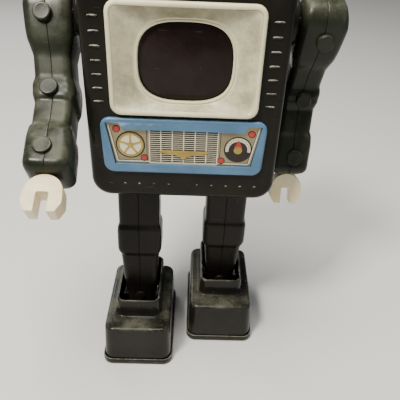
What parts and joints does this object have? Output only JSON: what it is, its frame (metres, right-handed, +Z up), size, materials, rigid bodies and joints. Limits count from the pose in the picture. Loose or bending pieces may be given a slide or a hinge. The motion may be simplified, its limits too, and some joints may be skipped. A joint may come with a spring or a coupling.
{
  "type": "toy robot",
  "caption": "Walking tin robot with a screen and a control panel in its box torso, swinging jointed arms with claw hands, hollow legs in heavy shoes, and a winding key.",
  "frame": {"origin": "on the table under the middle of the robot's box", "axes": "+Z up, -Y the way the robot faces, +X the robot's left"},
  "size_m": [0.2146, 0.1797, 0.3942],
  "materials": {
    "dark_paint": "glossy black-green lacquer on tin",
    "dark_plastic": "glossy black-green moulded plastic",
    "cream_plastic": "aged cream moulded plastic",
    "cream_paint": "off-white paint, dirty in the corners",
    "smoked_lens": "dark smoked plastic",
    "blue_paint": "steel-blue lacquer",
    "printed_tin": "printed tin plate",
    "bright_tin": "bright tinplate",
    "steel": "plain mild steel",
    "brass": "stamped brass",
    "rubber": "black rubber",
    "print_strip": "printed paper strip on a light drum"
  },
  "bodies": {
    "torso": {"torso_shell": "dark_paint", "rear_cover": "dark_paint", "screen_bezel": "cream_paint", "screen_lens": "smoked_lens", "panel_frame": "blue_paint", "panel_plate": "printed_tin", "neck_ring": "dark_paint", "head_shell": "dark_paint", "eye_left": "cream_plastic", "eye_right": "cream_plastic", "mouth_grille": "bright_tin", "ear_left": "cream_plastic", "ear_right": "cream_plastic", "hip_axle": "steel", "crank_bracket": "steel", "motor_plate_front": "steel", "motor_plate_back": "steel", "motor_pillar_left": "steel", "motor_pillar_right": "steel", "mainspring": "steel", "drum_bracket": "steel", "drive_belt": "rubber", "shoulder_disc_left": "dark_paint", "shoulder_disc_right": "dark_paint"},
    "antenna": {"antenna": "steel"},
    "key": {"winding_key": "bright_tin", "key_arbor": "steel", "ratchet_wheel": "brass"},
    "great_wheel": {"great_wheel": "brass"},
    "click": {"click": "steel"},
    "contrate": {"contrate_arbor": "steel", "contrate_wheel": "brass"},
    "crank": {"crank_shaft": "steel", "crank_left": "steel", "crank_right": "steel"},
    "drum": {"picture_drum": "print_strip"},
    "stop_lever": {"stop_lever": "steel"},
    "right_arm": {"right_arm_outer": "dark_plastic", "right_arm_inner": "dark_plastic", "right_arm_shaft": "steel"},
    "right_hand": {"right_hand": "cream_plastic"},
    "right_leg": {"right_leg_outer": "dark_plastic", "right_leg_inner": "dark_plastic", "right_leg_lever": "steel", "right_ankle_axle": "steel"},
    "right_shoe": {"right_shoe_upper": "dark_paint", "right_shoe_sole": "dark_paint", "right_ankle_bracket": "steel"},
    "left_arm": {"left_arm_outer": "dark_plastic", "left_arm_inner": "dark_plastic", "left_arm_shaft": "steel"},
    "left_hand": {"left_hand": "cream_plastic"},
    "left_leg": {"left_leg_outer": "dark_plastic", "left_leg_inner": "dark_plastic", "left_leg_lever": "steel", "left_ankle_axle": "steel"},
    "left_shoe": {"left_shoe_upper": "dark_paint", "left_shoe_sole": "dark_paint", "left_ankle_bracket": "steel"}
  },
  "joints": [
    {"name": "walk", "type": "hinge", "parent": "torso", "child": "right_leg", "pos_m": [-0.0359, 0.0194, 0.17125], "axis": [1, 0, 0], "range_deg": [0, 12]},
    {"name": "left_hip", "type": "hinge", "parent": "torso", "child": "left_leg", "pos_m": [0.0359, 0.0194, 0.17125], "axis": [1, 0, 0], "range_deg": [-12, 0]},
    {"name": "right_ankle", "type": "hinge", "parent": "right_leg", "child": "right_shoe", "pos_m": [-0.0359, 0.00518, 0.036], "axis": [1, 0, 0], "range_deg": [-12, 0]},
    {"name": "left_ankle", "type": "hinge", "parent": "left_leg", "child": "left_shoe", "pos_m": [0.0359, 0.03362, 0.036], "axis": [1, 0, 0], "range_deg": [0, 12]},
    {"name": "right_arm_swing", "type": "hinge", "parent": "torso", "child": "right_arm", "pos_m": [-0.0913, 0.0194, 0.27896], "axis": [1, 0, 0], "range_deg": [0, 46]},
    {"name": "left_arm_swing", "type": "hinge", "parent": "torso", "child": "left_arm", "pos_m": [0.0913, 0.0194, 0.27896], "axis": [1, 0, 0], "range_deg": [-46, 0]},
    {"name": "right_wrist", "type": "hinge", "parent": "right_arm", "child": "right_hand", "pos_m": [-0.08258, -0.06518, 0.19804], "axis": [0, 0.8678, 0.497], "range_deg": [-60, 60]},
    {"name": "left_wrist", "type": "hinge", "parent": "left_arm", "child": "left_hand", "pos_m": [0.08258, 0.01864, 0.16191], "axis": [0, 0.247, 0.969], "range_deg": [-60, 60]},
    {"name": "crank_spin", "type": "hinge", "parent": "torso", "child": "crank", "pos_m": [0, 0.0194, 0.19595], "axis": [1, 0, 0], "continuous": true},
    {"name": "contrate_spin", "type": "hinge", "parent": "torso", "child": "contrate", "pos_m": [0, 0.0194, 0.19595], "axis": [0, 1, 0], "continuous": true},
    {"name": "great_wheel_spin", "type": "hinge", "parent": "torso", "child": "great_wheel", "pos_m": [0, 0.0194, 0.22495], "axis": [0, 1, 0], "continuous": true},
    {"name": "drum_spin", "type": "hinge", "parent": "torso", "child": "drum", "pos_m": [0, 0.0114, 0.26036], "axis": [1, 0, 0], "continuous": true},
    {"name": "key_turn", "type": "hinge", "parent": "torso", "child": "key", "pos_m": [0, 0.0194, 0.22495], "axis": [0, 1, 0], "continuous": true},
    {"name": "click_lift", "type": "hinge", "parent": "great_wheel", "child": "click", "pos_m": [0.012, 0.0194, 0.22495], "axis": [0, 1, 0], "range_deg": [0, 12]},
    {"name": "antenna_turn", "type": "hinge", "parent": "torso", "child": "antenna", "pos_m": [0, 0.0194, 0.36756], "axis": [0, 0, 1], "continuous": true},
    {"name": "stop_lever_swing", "type": "hinge", "parent": "torso", "child": "stop_lever", "pos_m": [0.022, 0.0194, 0.20495], "axis": [0, 1, 0], "range_deg": [-14, 14]}
  ],
  "couplings": [
    {"joint": "left_hip", "follows": "walk", "ratio": -1},
    {"joint": "right_ankle", "follows": "walk", "ratio": -1},
    {"joint": "left_ankle", "follows": "walk", "ratio": 1},
    {"joint": "right_arm_swing", "follows": "walk", "ratio": 3.8333},
    {"joint": "left_arm_swing", "follows": "walk", "ratio": -3.8333},
    {"joint": "contrate_spin", "follows": "crank_spin", "ratio": -0.41667},
    {"joint": "great_wheel_spin", "follows": "crank_spin", "ratio": 0.086806},
    {"joint": "drum_spin", "follows": "crank_spin", "ratio": 0.18182}
  ]
}
